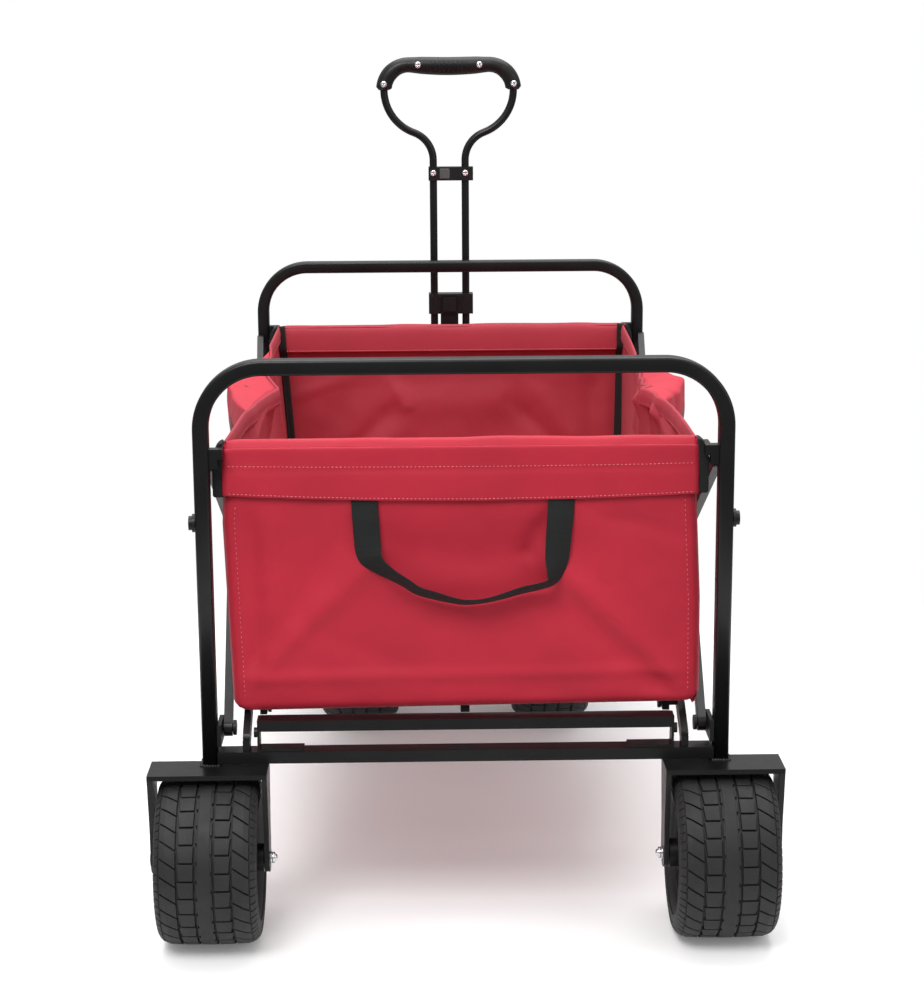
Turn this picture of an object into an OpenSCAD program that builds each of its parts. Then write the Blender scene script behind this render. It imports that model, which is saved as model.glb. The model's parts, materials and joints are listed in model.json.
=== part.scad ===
// Folding utility wagon with a telescoping pull handle.
// X runs across the wagon, Y from the rear hoop to the pull handle, Z up.
// The origin is on the ground, under the middle of the wagon.

/* [Frame] */
// Outside width of the two hoops
hoop_w = 520; // [480:5:560]
// Height of the top of the hoops
hoop_h = 581; // [540:1:640]
// Distance from the rear hoop to the front hoop
hoop_span = 870; // [860:5:900]
// Face width of the hoop tube
tube_face = 15; // [14:1:18]
// Depth of the hoop tube along the wagon
tube_depth = 20; // [16:1:20]
// Bend radius of the hoop corners, on the outside
hoop_bend_r = 67.5; // [50:0.5:90]

/* [Wheels] */
// Diameter of each tyre
wheel_d = 168; // [160:1:168]
// Width of each tyre
wheel_w = 100; // [80:1:102]
// How far a front wheel trails its swivel pin
caster_trail = 45; // [35:1:50]
// Distance from the centre line to a front wheel
caster_x = 124; // [118:1:128]

/* [Basket] */
// Height of the basket's bottom edge
basket_bottom = 237; // [236:1:240]
// Height of the basket's rim
basket_top = 504; // [500:1:508]
// Half width of the basket at the rim
basket_half_top = 231; // [226:1:231]
// Half width of the basket at the bottom
basket_half_bottom = 221; // [214:1:221]

/* [Fold] */
// Height of the lower pivot pins
pivot_z = 208; // [206:1:210]
// Height of the upper ends of the side bars
upper_z = 476; // [470:1:480]
// Width of a side bar
bar_w = 17; // [14:1:17]
// Thickness of a side bar
bar_t = 8; // [6:1:8]

/* [Handle] */
// Height of the top of the grip
handle_h = 850; // [800:1:900]
// Distance from the centre line to each telescoping rod
rod_x = 21.5; // [20:0.5:24]
// Radius of the telescoping rods
rod_r = 5; // [4:0.5:5.5]
// Radius of the grip
grip_r = 11; // [10:0.5:12]

/* [Hidden] */
$fn = 64;
hull_fn = 32;
slip = 0.05;
wall_t = 1.2;

// lengths from the rear hoop are turned into the wagon's own Y
wheel_r = wheel_d / 2;
rear_axle_back = 15;
handle_pivot_ahead = 37;
handle_pivot_r = 10;
back_reach = rear_axle_back + wheel_r;
front_reach = hoop_span + handle_pivot_ahead + handle_pivot_r;
rear_y = (back_reach - front_reach) / 2;
front_y = rear_y + hoop_span;
mid_y = rear_y + hoop_span / 2;

// hoops and rails
hoop_half = hoop_w / 2;
post_in = hoop_half - tube_face;
post_foot_z = 178;
rail_z = [180, 192];
support_z = [213, 224];
support_half = 203;

// rear wheel forks
wheel_x = hoop_half - tube_face / 2 + 1;
fork_half = 58.5;
leg_t = 5;
plate_z = [173, 178];
axle_z = wheel_r;
rear_axle_y = rear_y - rear_axle_back;
axle_r = 6;

// side bars: each pair is a cross between a hoop and the middle
pivot_in = 20;
rear_pivot_y = rear_y + pivot_in;
front_pivot_y = front_y - pivot_in;
pin_r = 4;
head_gap = 0.8;
low_out = hoop_half - 24;
a_rear = [low_out, low_out + 20];
b_rear = [low_out + 10, low_out - 10];
a_front = [low_out + 10, low_out - 10];
b_front = [low_out, low_out + 20];

// folding floor
floor_pivot_in = 38;
floor_pivot_z = 224;
floor_rail_z = [218, 230];
board_z = [230, 234];
floor_rail_x = [198, 205];
board_half = 211;
centre_half = 45;
floor_gap = 8;
floor_len = hoop_span / 2 - floor_pivot_in - centre_half - floor_gap;
floor_pin_r = 3.5;

// basket
wall_gap = 12.6;
wall_thick = 3.4;
rear_wall_y = rear_y + wall_gap;
front_wall_y = front_y - wall_gap;
hem_rail_in = [17, 25];
hem_rail_z = [485, 495];
hem_end = 227;
bracket_low_z = 476;

// front swivel wheels
swivel_y = rear_y + 745;
caster_axle_y = swivel_y - caster_trail;
crown_z = [171, 176];
king_r = 8;

// pull handle
handle_y = front_y + handle_pivot_ahead - 3;
handle_pivot_y = front_y + handle_pivot_ahead;
handle_pivot_z = 212;
tube_x = [-13, 11];
block_x = [-29, 31];
block_z = [506, 533];
block_depth = 11;
rod_top_z = handle_h - 137;
rod_low_z = 262;
neck_r1 = 39;
neck_r2 = 60;
neck_angle = 70;
corner_r = 33;
loop_x = rod_x + (neck_r1 + neck_r2) * (1 - cos(neck_angle));
loop_z = rod_top_z + (neck_r1 + neck_r2) * sin(neck_angle);
grip_z = loop_z + corner_r;

// ---- helpers ----

// a box between two corners
module span(x, y, z) translate([x[0], y[0], z[0]])
    cube([x[1] - x[0], y[1] - y[0], z[1] - z[0]]);

// an outline in X and Z, drawn out from y0 to y1
module along_y(y0, y1) translate([0, y1, 0]) rotate([90, 0, 0])
    linear_extrude(y1 - y0) children();

// a round bar along X from x0 to x1
module bar_x(x0, x1, y, z, r) translate([x0, y, z]) rotate([0, 90, 0]) cylinder(h = x1 - x0, r = r);

// the same thing on both sides of the wagon
module both_sides() {
    children();
    mirror([1, 0, 0]) children();
}

module side(left) {
    if (left) mirror([1, 0, 0]) children();
    else children();
}

module arch(half_w, top_z, low_z, r) {
    translate([-half_w, low_z]) square([2 * half_w, top_z - r - low_z]);
    translate([r - half_w, low_z]) square([2 * (half_w - r), top_z - low_z]);
    for (s = [-1, 1]) translate([s * (half_w - r), top_z - r]) circle(r);
}

module hoop_outline(grow) difference() {
    arch(hoop_half + grow, hoop_h + grow, post_foot_z, hoop_bend_r + grow);
    translate([0, -1]) arch(post_in - grow, hoop_h - tube_face - grow + 1, post_foot_z,
        hoop_bend_r - tube_face - grow);
}

module hoop(y) difference() {
    along_y(y - tube_depth / 2, y + tube_depth / 2) hoop_outline(0);
    along_y(y - tube_depth / 2 + wall_t, y + tube_depth / 2 - wall_t) hoop_outline(-wall_t);
}

// a hollow rail across the wagon, with open ends
module rail_x(half, y, z) difference() {
    span([-half, half], [y - tube_depth / 2, y + tube_depth / 2], z);
    span([-half - 1, half + 1], [y - tube_depth / 2 + wall_t, y + tube_depth / 2 - wall_t],
        [z[0] + wall_t, z[1] - wall_t]);
}

// a plate across the wheel with a leg on each side, centred on X = 0
module fork_shape(y_axle, plate_y, z_plate, leg_top) difference() {
    union() {
        span([-fork_half, fork_half], plate_y, z_plate);
        for (s = [-1, 1]) fork_leg(s, y_axle, leg_top, z_plate[1]);
    }
    bar_x(-fork_half - 1, fork_half + 1, y_axle, axle_z, axle_r + slip);
}

module fork_leg(s, y_axle, leg_top, top_z) {
    tip_r = 14;
    mid_z = axle_z + 34;
    x0 = s > 0 ? fork_half - leg_t : -fork_half;
    translate([x0, 0, 0]) rotate([90, 0, 90]) linear_extrude(leg_t) {
        translate([y_axle, axle_z]) circle(tip_r);
        polygon([[y_axle - tip_r, axle_z], [y_axle + tip_r, axle_z], [y_axle + tip_r, mid_z],
            [leg_top[1], top_z], [leg_top[0], top_z], [y_axle - tip_r, mid_z]]);
    }
}

// an axle bolt with a low round head outside and a nut inside, centred on X = 0
module axle_bolt(y) {
    bar_x(-fork_half - 2, fork_half + 2, y, axle_z, axle_r);
    bar_x(fork_half, fork_half + 4, y, axle_z, 11);
    bar_x(-fork_half - 4, -fork_half, y, axle_z, 11);
    bar_x(-fork_half - 8, -fork_half - 4, y, axle_z, 7);
}

module tyre(x, y) {
    shoulder_r = 13;
    crown = 2;
    half = wheel_w / 2;
    bead_r = 54;
    translate([x, y, axle_z]) rotate([0, 90, 0]) rotate_extrude($fn = 96) {
        translate([bead_r, -half + shoulder_r]) square([wheel_r - crown - bead_r, wheel_w - 2 * shoulder_r]);
        translate([bead_r, -half]) square([wheel_r - crown - shoulder_r - bead_r, wheel_w]);
        for (s = [-1, 1]) translate([wheel_r - crown - shoulder_r, s * (half - shoulder_r)]) circle(shoulder_r);
        translate([wheel_r - crown - 1, -20]) square([crown + 1, 40]);
    }
}

module rim(x, y) {
    bead_r = 54;
    hub_half = 52.5;
    barrel_half = 40;
    translate([x, y, axle_z]) rotate([0, 90, 0]) rotate_extrude($fn = 96) {
        translate([axle_r + slip, -hub_half]) square([14 - axle_r, 2 * hub_half]);
        translate([axle_r + slip + 4, -3]) square([bead_r - axle_r - 6, 6]);
        translate([bead_r - 4, -barrel_half]) square([4, 2 * barrel_half]);
    }
}

// one side bar from (y0, z0) to (y1, z1) whose X changes from x[0] to x[1]
module side_bar(y0, z0, y1, z1, x) difference() {
    hull() {
        bar_x(x[0] - bar_t / 2, x[0] + bar_t / 2, y0, z0, bar_w / 2, $fn = hull_fn);
        bar_x(x[1] - bar_t / 2, x[1] + bar_t / 2, y1, z1, bar_w / 2, $fn = hull_fn);
    }
    for (t = [0, 0.5, 1]) {
        xc = x[0] + (x[1] - x[0]) * t;
        bar_x(xc - bar_t, xc + bar_t, y0 + (y1 - y0) * t, z0 + (z1 - z0) * t, pin_r + slip);
    }
}

// a pin with a head at each end
module rivet(x0, x1, y, z) {
    bar_x(x0, x1, y, z, pin_r);
    bar_x(x0 - 2, x0, y, z, 7);
    bar_x(x1, x1 + 2, y, z, 7);
}

// one half of the folding floor frame; dir is +1 towards the front
module floor_frame(pivot_y, dir) difference() {
    union() {
        both_sides() floor_rail(pivot_y, dir, floor_rail_x);
        floor_rail(pivot_y, dir, [-4.5, 4.5]);
        for (t = [0.06, 0.34, 0.66, 0.94])
            floor_slat(pivot_y + dir * floor_len * t);
    }
    both_sides() bar_x(floor_rail_x[0] - 1, floor_rail_x[1] + 1, pivot_y, floor_pivot_z, floor_pin_r + slip);
}

module floor_rail(pivot_y, dir, x) {
    ends = [pivot_y - dir * 8, pivot_y + dir * floor_len];
    span(x, [min(ends), max(ends)], floor_rail_z);
}

module floor_slat(y) span([-floor_rail_x[0] - 1, floor_rail_x[0] + 1], [y - 9, y + 9],
    [floor_rail_z[0] + 3, floor_rail_z[1]]);

module floor_board(pivot_y, dir) {
    ends = [pivot_y + dir * 10, pivot_y + dir * floor_len];
    span([-board_half, board_half], [min(ends), max(ends)], board_z);
}

// the arms that carry one end of the folding floor; dir is +1 towards the front
module platform_arms(hoop_y, dir, x) both_sides() {
    pivot_y = hoop_y + dir * floor_pivot_in;
    hull() {
        bar_x(x[0], x[1], hoop_y + dir * 2, 203, 8, $fn = hull_fn);
        bar_x(x[0], x[1], pivot_y, floor_pivot_z, 8, $fn = hull_fn);
    }
    bar_x(floor_rail_x[0] - 2, x[0] + 1, pivot_y, floor_pivot_z, floor_pin_r);
    bar_x(floor_rail_x[0] - 4, floor_rail_x[0] - 1, pivot_y, floor_pivot_z, 6);
    span(x, [min(hoop_y - 8, hoop_y + 8), max(hoop_y - 8, hoop_y + 8)], [rail_z[1], 203]);
}

// the rail inside the basket's hem, with a bracket to each post
module hem_rail(hoop_y, dir) {
    ys = [hoop_y + dir * hem_rail_in[0], hoop_y + dir * hem_rail_in[1]];
    span([-hem_end, hem_end], [min(ys), max(ys)], hem_rail_z);
    reach = [hoop_y - dir * 6, hoop_y + dir * hem_rail_in[1]];
    both_sides() {
        span([232, 238], [min(reach), max(reach)], hem_rail_z);
        span([237, post_in], [hoop_y - 6, hoop_y + 6], [bracket_low_z, hem_rail_z[1]]);
        span([hem_end - 1, 233], [min(ys), max(ys)], hem_rail_z);
    }
}

module hem_gap(hoop_y) both_sides()
    span([224, 241], [hoop_y - 40, hoop_y + 40], [hem_rail_z[0] - 0.5, hem_rail_z[1] + 0.5]);

module wall_outline() polygon([[-basket_half_bottom, basket_bottom], [basket_half_bottom, basket_bottom],
    [basket_half_top - 1, basket_top], [1 - basket_half_top, basket_top]]);

module corner_pads(hoop_y, dir) difference() {
    ys = [hoop_y + dir * (wall_gap - 0.8), hoop_y + dir * 27];
    both_sides() span([231, 241], [min(ys), max(ys)], [449, basket_top]);
    hem_gap(hoop_y);
}

module side_wall() along_y(rear_y + 28, front_y - 28)
    polygon([[basket_half_bottom - 3, basket_bottom], [basket_half_bottom, basket_bottom],
        [basket_half_top, basket_top], [basket_half_top - 3, basket_top]]);

// a round bar bent in the X-Z plane: an arc about (x, z)
module bend(x, z, r, from, sweep, bar_r, hole_r = 0) translate([x, handle_y, z]) rotate([90, 0, 0])
    rotate([0, 0, from]) rotate_extrude(angle = sweep) translate([r, 0]) difference() {
        circle(bar_r);
        if (hole_r > 0) circle(hole_r);
    }

// ---- rear frame ----

module rear_hoop() color([0.12, 0.12, 0.13]) hoop(rear_y);

module rear_lower_rail() color([0.12, 0.12, 0.13]) rail_x(post_in, rear_y, rail_z);

module rear_support_rail() color([0.12, 0.12, 0.13]) rail_x(support_half, rear_y, support_z);

module rear_rail_brackets() color([0.12, 0.12, 0.13]) both_sides() {
    span([160, 203.5], [rear_y - 9, rear_y + 9], [rail_z[1], rail_z[1] + 2.5]);
    span([support_half, support_half + 2.5], [rear_y - 9, rear_y + 9], [rail_z[1], support_z[1]]);
    bar_x(support_half + 2.5, support_half + 6, rear_y - 2, 210, 5);
}

module rear_fork(left) color([0.12, 0.12, 0.13]) side(left) translate([wheel_x, 0, 0])
    fork_shape(rear_axle_y, [rear_y - 38, rear_y + 7], plate_z, [rear_y - 38, rear_y + 7]);

module rear_fork_left() rear_fork(true);

module rear_fork_right() rear_fork(false);

module rear_axle_bolts() color("silver") both_sides() translate([wheel_x, 0, 0]) axle_bolt(rear_axle_y);

// plates on the posts with the pins that the rear bars turn on
module rear_pivots() color([0.2, 0.2, 0.21]) both_sides() {
    span([low_out + 5, post_in], [rear_y - 8, rear_pivot_y + 8], [197, 219]);
    bar_x(low_out - 5, low_out + 6, rear_pivot_y, pivot_z, pin_r);
    bar_x(low_out - 8, low_out - 5, rear_pivot_y, pivot_z, 7.5);
}

module rear_platform_arms() color([0.12, 0.12, 0.13]) platform_arms(rear_y, 1, [213, 220]);

module rear_hem_rail() color([0.12, 0.12, 0.13]) hem_rail(rear_y, 1);

module post_knobs() color([0.1, 0.1, 0.1]) both_sides() {
    bar_x(hoop_half, hoop_half + 3, rear_y, 422, 9);
    bar_x(hoop_half + 3, hoop_half + 6.5, rear_y, 422, 7);
}

// ---- basket ----

module end_wall_rear() color([0.72, 0.16, 0.23]) along_y(rear_wall_y, rear_wall_y + wall_thick) wall_outline();

module end_wall_front() color([0.72, 0.16, 0.23]) along_y(front_wall_y - wall_thick, front_wall_y) wall_outline();

module side_wall_left() color([0.65, 0.14, 0.2]) side(true) side_wall();

module side_wall_right() color([0.65, 0.14, 0.2]) side_wall();

module carry_strap() color([0.17, 0.18, 0.18]) along_y(rear_wall_y - 2, rear_wall_y - 0.4) {
    translate([-110, 372]) square([26, 71]);
    translate([80, 372]) square([26, 71]);
    polygon([[-110, 380], [-84, 372], [-60, 352], [0, 346], [70, 352], [80, 372], [106, 380],
        [80, 344], [0, 336], [-70, 344]]);
}

module corner_pads_rear() color([0.13, 0.13, 0.13]) corner_pads(rear_y, 1);

module corner_pads_front() color([0.13, 0.13, 0.13]) corner_pads(front_y, -1);

// dark tape down the inside corners of the front wall
module corner_webbing() color([0.13, 0.13, 0.13]) both_sides()
    along_y(front_wall_y - wall_thick - 1.6, front_wall_y - wall_thick - 0.3)
        polygon([[202, 260], [214, 260], [219, 484], [207, 484]]);

// ---- wheels ----

module rear_tyre_left() color([0.2, 0.2, 0.2]) tyre(-wheel_x, rear_axle_y);

module rear_tyre_right() color([0.2, 0.2, 0.2]) tyre(wheel_x, rear_axle_y);

module rear_rim_left() color([0.1, 0.1, 0.1]) rim(-wheel_x, rear_axle_y);

module rear_rim_right() color([0.1, 0.1, 0.1]) rim(wheel_x, rear_axle_y);

module front_tyre_left() color([0.2, 0.2, 0.2]) tyre(-caster_x, caster_axle_y);

module front_tyre_right() color([0.2, 0.2, 0.2]) tyre(caster_x, caster_axle_y);

module front_rim_left() color([0.1, 0.1, 0.1]) rim(-caster_x, caster_axle_y);

module front_rim_right() color([0.1, 0.1, 0.1]) rim(caster_x, caster_axle_y);

// fork, swivel race, kingpin with its nut, and axle bolt of one front wheel
module caster_fork(left) color([0.12, 0.12, 0.13]) side(left) translate([caster_x, 0, 0]) {
    fork_shape(caster_axle_y, [caster_axle_y - 16, swivel_y + 24], crown_z,
        [caster_axle_y - 16, caster_axle_y + 34]);
    axle_bolt(caster_axle_y);
    translate([0, swivel_y, crown_z[1]]) cylinder(h = 1.7, r = 22);
    translate([0, swivel_y, crown_z[1]]) cylinder(h = 18, r = king_r);
    translate([0, swivel_y, rail_z[1] + 0.3]) cylinder(h = 5, r = 12);
}

module caster_fork_left() caster_fork(true);

module caster_fork_right() caster_fork(false);

// ---- side bars ----

module bar_a_rear(left) color([0.14, 0.14, 0.15]) side(left)
    side_bar(rear_pivot_y, pivot_z, mid_y, upper_z, a_rear);

module bar_b_rear(left) color([0.14, 0.14, 0.15]) side(left)
    side_bar(rear_pivot_y, upper_z, mid_y, pivot_z, b_rear);

module bar_a_front(left) color([0.14, 0.14, 0.15]) side(left)
    side_bar(mid_y, upper_z, front_pivot_y, pivot_z, a_front);

module bar_b_front(left) color([0.14, 0.14, 0.15]) side(left)
    side_bar(mid_y, pivot_z, front_pivot_y, upper_z, b_front);

module bar_a_rear_left() bar_a_rear(true);
module bar_a_rear_right() bar_a_rear(false);
module bar_b_rear_left() bar_b_rear(true);
module bar_b_rear_right() bar_b_rear(false);
module bar_a_front_left() bar_a_front(true);
module bar_a_front_right() bar_a_front(false);
module bar_b_front_left() bar_b_front(true);
module bar_b_front_right() bar_b_front(false);

cross_z = (pivot_z + upper_z) / 2;

// rivets at the rear crossings and at the top joints in the middle
module side_rivets_rear() color([0.35, 0.35, 0.36]) both_sides() {
    rivet(low_out - bar_t / 2 - head_gap, low_out + 10 + bar_t / 2 + head_gap, (rear_pivot_y + mid_y) / 2, cross_z);
    rivet(low_out + 10 - bar_t / 2 - head_gap, low_out + 20 + bar_t / 2 + head_gap, mid_y, upper_z);
}

// rivets at the front crossings
module side_rivets_front() color([0.35, 0.35, 0.36]) both_sides()
    rivet(low_out - bar_t / 2 - head_gap, low_out + 10 + bar_t / 2 + head_gap, (mid_y + front_pivot_y) / 2, cross_z);

// ---- folding floor ----

module centre_tube() color([0.12, 0.12, 0.13]) {
    difference() {
        bar_x(-low_out + 16, low_out - 16, mid_y, pivot_z, 8);
        bar_x(-low_out + 30, low_out - 30, mid_y, pivot_z, 8 - wall_t);
    }
    both_sides() {
        bar_x(low_out - 17, low_out + 5, mid_y, pivot_z, pin_r);
        bar_x(low_out + 5, low_out + 7, mid_y, pivot_z, 7);
    }
    for (x = [-120, 0, 120]) span([x - 10, x + 10], [mid_y - 7, mid_y + 7], [pivot_z + 6, board_z[0]]);
}

module floor_board_centre() color([0.3, 0.1, 0.12])
    span([-board_half, board_half], [mid_y - centre_half, mid_y + centre_half], board_z);

module platform_frame_rear() color([0.12, 0.12, 0.13]) floor_frame(rear_y + floor_pivot_in, 1);

module platform_frame_front() color([0.12, 0.12, 0.13]) floor_frame(front_y - floor_pivot_in, -1);

module floor_board_rear() color([0.3, 0.1, 0.12]) floor_board(rear_y + floor_pivot_in, 1);

module floor_board_front() color([0.3, 0.1, 0.12]) floor_board(front_y - floor_pivot_in, -1);

// ---- front frame ----

module front_hoop() color([0.12, 0.12, 0.13]) hoop(front_y);

// the front lower rail and the welded frame behind it that holds the swivels
module front_subframe() color([0.12, 0.12, 0.13]) difference() {
    union() {
        rail_x(post_in, front_y, rail_z);
        span([-caster_x - 26, caster_x + 26], [swivel_y - 12, swivel_y + 12], rail_z);
        both_sides() span([caster_x - 8, caster_x + 8], [swivel_y + 11, front_y - tube_depth / 2], rail_z);
        both_sides() translate([caster_x, swivel_y, 179]) cylinder(h = rail_z[1] - 179, r = 22);
    }
    both_sides() translate([caster_x, swivel_y, 170]) cylinder(h = 30, r = king_r + slip);
}

module front_pivots() color([0.2, 0.2, 0.21]) both_sides() {
    span([low_out - 5, post_in], [front_pivot_y - 8, front_y + 8], [197, 219]);
    bar_x(low_out - 15, low_out - 4, front_pivot_y, pivot_z, pin_r);
    bar_x(low_out - 17, low_out - 14.5, front_pivot_y, pivot_z, 7);
}

module front_platform_arms() color([0.12, 0.12, 0.13]) platform_arms(front_y, -1, [208, 214]);

module front_hem_rail() color([0.12, 0.12, 0.13]) hem_rail(front_y, -1);

// two cheeks on the front rail with the pin that the handle tips on
module handle_bracket() color([0.12, 0.12, 0.13]) {
    plate_y = [front_y + tube_depth / 2, front_y + tube_depth / 2 + 4];
    span([-20, 18], plate_y, [rail_z[0], 232]);
    for (x = [[-20, -15], [13, 18]]) difference() {
        union() {
            span(x, [plate_y[0], handle_pivot_y], [handle_pivot_z - handle_pivot_r, handle_pivot_z + handle_pivot_r]);
            bar_x(x[0], x[1], handle_pivot_y, handle_pivot_z, handle_pivot_r);
        }
        bar_x(x[0] - 1, x[1] + 1, handle_pivot_y, handle_pivot_z, 5);
    }
    bar_x(-23, 21, handle_pivot_y, handle_pivot_z, 5);
}

// ---- pull handle ----

module handle_tube() color([0.12, 0.12, 0.13]) difference() {
    union() {
        span(tube_x, [handle_y - 8, handle_y + 8], [handle_pivot_z, block_z[0]]);
        bar_x(tube_x[0], tube_x[1], handle_pivot_y, handle_pivot_z, handle_pivot_r);
    }
    span([tube_x[0] + 2, tube_x[1] - 2], [handle_y - 6, handle_y + 6], [240, block_z[0] - 4]);
    bar_x(tube_x[0] - 1, tube_x[1] + 1, handle_pivot_y, handle_pivot_z, 5 + slip);
}

module lock_block() color([0.08, 0.08, 0.09]) difference() {
    span(block_x, [handle_y - block_depth, handle_y + block_depth], block_z);
    for (s = [-1, 1]) translate([s * rod_x, handle_y, block_z[0] - 1])
        cylinder(h = block_z[1] - block_z[0] + 2, r = rod_r + slip);
    span([-11, 9], [handle_y - block_depth - 1, handle_y - 2], [block_z[0] + 3, block_z[1] - 3]);
}

module lock_button() color([0.1, 0.1, 0.11])
    span([-10.5, 8.5], [handle_y - block_depth - 4, handle_y - 7], [block_z[0] + 3.5, block_z[1] - 3.5]);

// two rods, the two necks and the bar under the grip, all one bent rod
module handle_loop() color([0.12, 0.12, 0.13]) {
    both_sides() {
        translate([rod_x, handle_y, rod_low_z]) cylinder(h = rod_top_z - rod_low_z, r = rod_r);
        bend(rod_x + neck_r1, rod_top_z, neck_r1, 180 - neck_angle, neck_angle, rod_r);
        bend(loop_x - neck_r2, loop_z, neck_r2, -neck_angle, neck_angle, rod_r);
        bend(loop_x - corner_r, loop_z, corner_r, 0, 90, rod_r);
    }
    bar_x(corner_r - loop_x, loop_x - corner_r, handle_y, grip_z, rod_r);
}

module grip() color([0.1, 0.1, 0.1]) {
    both_sides() bend(loop_x - corner_r, loop_z, corner_r, 0, 90, grip_r, rod_r);
    difference() {
        bar_x(corner_r - loop_x, loop_x - corner_r, handle_y, grip_z, grip_r);
        bar_x(corner_r - loop_x - 1, loop_x - corner_r + 1, handle_y, grip_z, rod_r);
    }
}

module loop_brace() color([0.1, 0.1, 0.11]) difference() {
    span([-28, 32], [handle_y - 8, handle_y + 8], [686, 704]);
    for (s = [-1, 1]) translate([s * rod_x, handle_y, 680]) cylinder(h = 30, r = rod_r);
}

// the block that ties the rods' lower ends around the handle tube
module slider_block() color([0.08, 0.08, 0.09]) difference() {
    span([-31, 31], [handle_y - 12, handle_y + 12], [rod_low_z, rod_low_z + 22]);
    span([tube_x[0] - 0.5, tube_x[1] + 0.5], [handle_y - 8.5, handle_y + 8.5], [rod_low_z - 1, rod_low_z + 24]);
    for (s = [-1, 1]) translate([s * rod_x, handle_y, rod_low_z - 1]) cylinder(h = 24, r = rod_r);
}

module screw_y(x, y, z, r) translate([x, y, z]) rotate([90, 0, 0]) cylinder(h = 1.5, r = r, $fn = 24);

module handle_screws() color("silver") both_sides() {
    screw_y(rod_x, handle_y - 8, 696, 4);
    screw_y(41, handle_y - grip_r, grip_z, 3.5);
    screw_y(loop_x, handle_y - grip_r, loop_z + 8, 3.5);
}

rear_hoop();
rear_lower_rail();
rear_support_rail();
rear_rail_brackets();
rear_fork_left();
rear_fork_right();
rear_axle_bolts();
rear_pivots();
rear_platform_arms();
rear_hem_rail();
post_knobs();
end_wall_rear();
side_wall_left();
side_wall_right();
carry_strap();
corner_pads_rear();
rear_tyre_left();
rear_tyre_right();
rear_rim_left();
rear_rim_right();
front_tyre_left();
front_tyre_right();
front_rim_left();
front_rim_right();
bar_a_rear_left();
bar_a_rear_right();
bar_b_rear_left();
bar_b_rear_right();
bar_a_front_left();
bar_a_front_right();
bar_b_front_left();
bar_b_front_right();
side_rivets_rear();
side_rivets_front();
centre_tube();
floor_board_centre();
platform_frame_rear();
floor_board_rear();
platform_frame_front();
floor_board_front();
front_hoop();
front_subframe();
front_pivots();
front_platform_arms();
front_hem_rail();
handle_bracket();
end_wall_front();
corner_pads_front();
corner_webbing();
caster_fork_left();
caster_fork_right();
handle_tube();
lock_block();
lock_button();
handle_loop();
grip();
loop_brace();
slider_block();
handle_screws();
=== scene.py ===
"""Looks for the folding wagon: cloth basket, tyres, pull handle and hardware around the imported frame."""
import json
import math
import random

import bpy
from mathutils import Matrix, Vector, noise


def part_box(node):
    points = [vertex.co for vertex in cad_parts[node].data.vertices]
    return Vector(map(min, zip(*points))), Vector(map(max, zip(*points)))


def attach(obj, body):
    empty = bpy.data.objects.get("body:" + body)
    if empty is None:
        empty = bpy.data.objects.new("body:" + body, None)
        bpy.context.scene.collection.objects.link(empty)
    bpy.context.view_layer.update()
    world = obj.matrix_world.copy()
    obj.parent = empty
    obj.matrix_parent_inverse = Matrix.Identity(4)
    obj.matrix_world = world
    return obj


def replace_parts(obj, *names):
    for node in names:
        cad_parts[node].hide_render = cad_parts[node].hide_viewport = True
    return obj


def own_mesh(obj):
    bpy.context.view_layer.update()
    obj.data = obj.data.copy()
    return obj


MM = 0.001
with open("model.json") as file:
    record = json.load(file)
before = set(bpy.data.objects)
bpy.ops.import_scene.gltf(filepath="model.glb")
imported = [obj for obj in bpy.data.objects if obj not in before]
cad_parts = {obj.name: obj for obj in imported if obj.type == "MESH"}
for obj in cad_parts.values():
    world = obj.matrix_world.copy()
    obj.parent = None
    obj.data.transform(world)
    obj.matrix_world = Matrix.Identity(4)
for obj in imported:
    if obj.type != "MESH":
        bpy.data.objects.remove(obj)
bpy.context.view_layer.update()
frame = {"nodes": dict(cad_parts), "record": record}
nodes = frame["nodes"]


def middle(node):
    low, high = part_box(node)
    return (low + high) / 2


# ---- places taken from the frame, in millimetres ----

REAR = middle("rear_hoop").y / MM
FRONT = middle("front_hoop").y / MM
MID = (REAR + FRONT) / 2
PANEL_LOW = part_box("end_wall_rear")[0].z / MM
PANEL_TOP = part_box("end_wall_rear")[1].z / MM
WALL_LOW = PANEL_LOW - 8
WALL_TOP = {-1: PANEL_TOP - 4.2, 1: PANEL_TOP - 6.8}
REAR_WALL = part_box("end_wall_rear")[0].y / MM
FRONT_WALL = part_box("end_wall_front")[1].y / MM
HOOP_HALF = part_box("rear_hoop")[1].x / MM
AXLE_Z = middle("rear_rim_left").z / MM
WHEEL_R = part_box("rear_tyre_left")[1].z / MM / 2
WHEEL_W = (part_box("rear_tyre_left")[1].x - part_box("rear_tyre_left")[0].x) / MM
HANDLE_Y = middle("handle_loop").y / MM


def show(obj):
    bpy.context.scene.collection.objects.link(obj)


# ---- materials ----

def new_material(name, colour, roughness, metallic=0.0, **sockets):
    """A principled material with its even values on the shader's own sockets."""
    mat = bpy.data.materials.new(name)
    mat.use_nodes = True
    shader = mat.node_tree.nodes["Principled BSDF"]
    shader.inputs["Base Color"].default_value = (*colour, 1)
    shader.inputs["Roughness"].default_value = roughness
    shader.inputs["Metallic"].default_value = metallic
    for socket, value in sockets.items():
        shader.inputs[socket.replace("_", " ")].default_value = value
    mat.diffuse_color = (*colour, 1)
    return mat, mat.node_tree, shader


def node(tree, kind, **settings):
    """A shader node; an underscore in an input's name stands for a space."""
    made = tree.nodes.new(kind)
    for key, value in settings.items():
        socket = key.replace("_", " ")
        if socket in made.inputs:
            made.inputs[socket].default_value = value
        else:
            setattr(made, key, value)
    return made


def noise_node(tree, scale, detail=3.0):
    place = node(tree, "ShaderNodeTexCoord")
    made = node(tree, "ShaderNodeTexNoise", Scale=scale, Detail=detail, Roughness=0.55)
    tree.links.new(place.outputs["Object"], made.inputs["Vector"])
    return made.outputs["Fac"]


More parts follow.
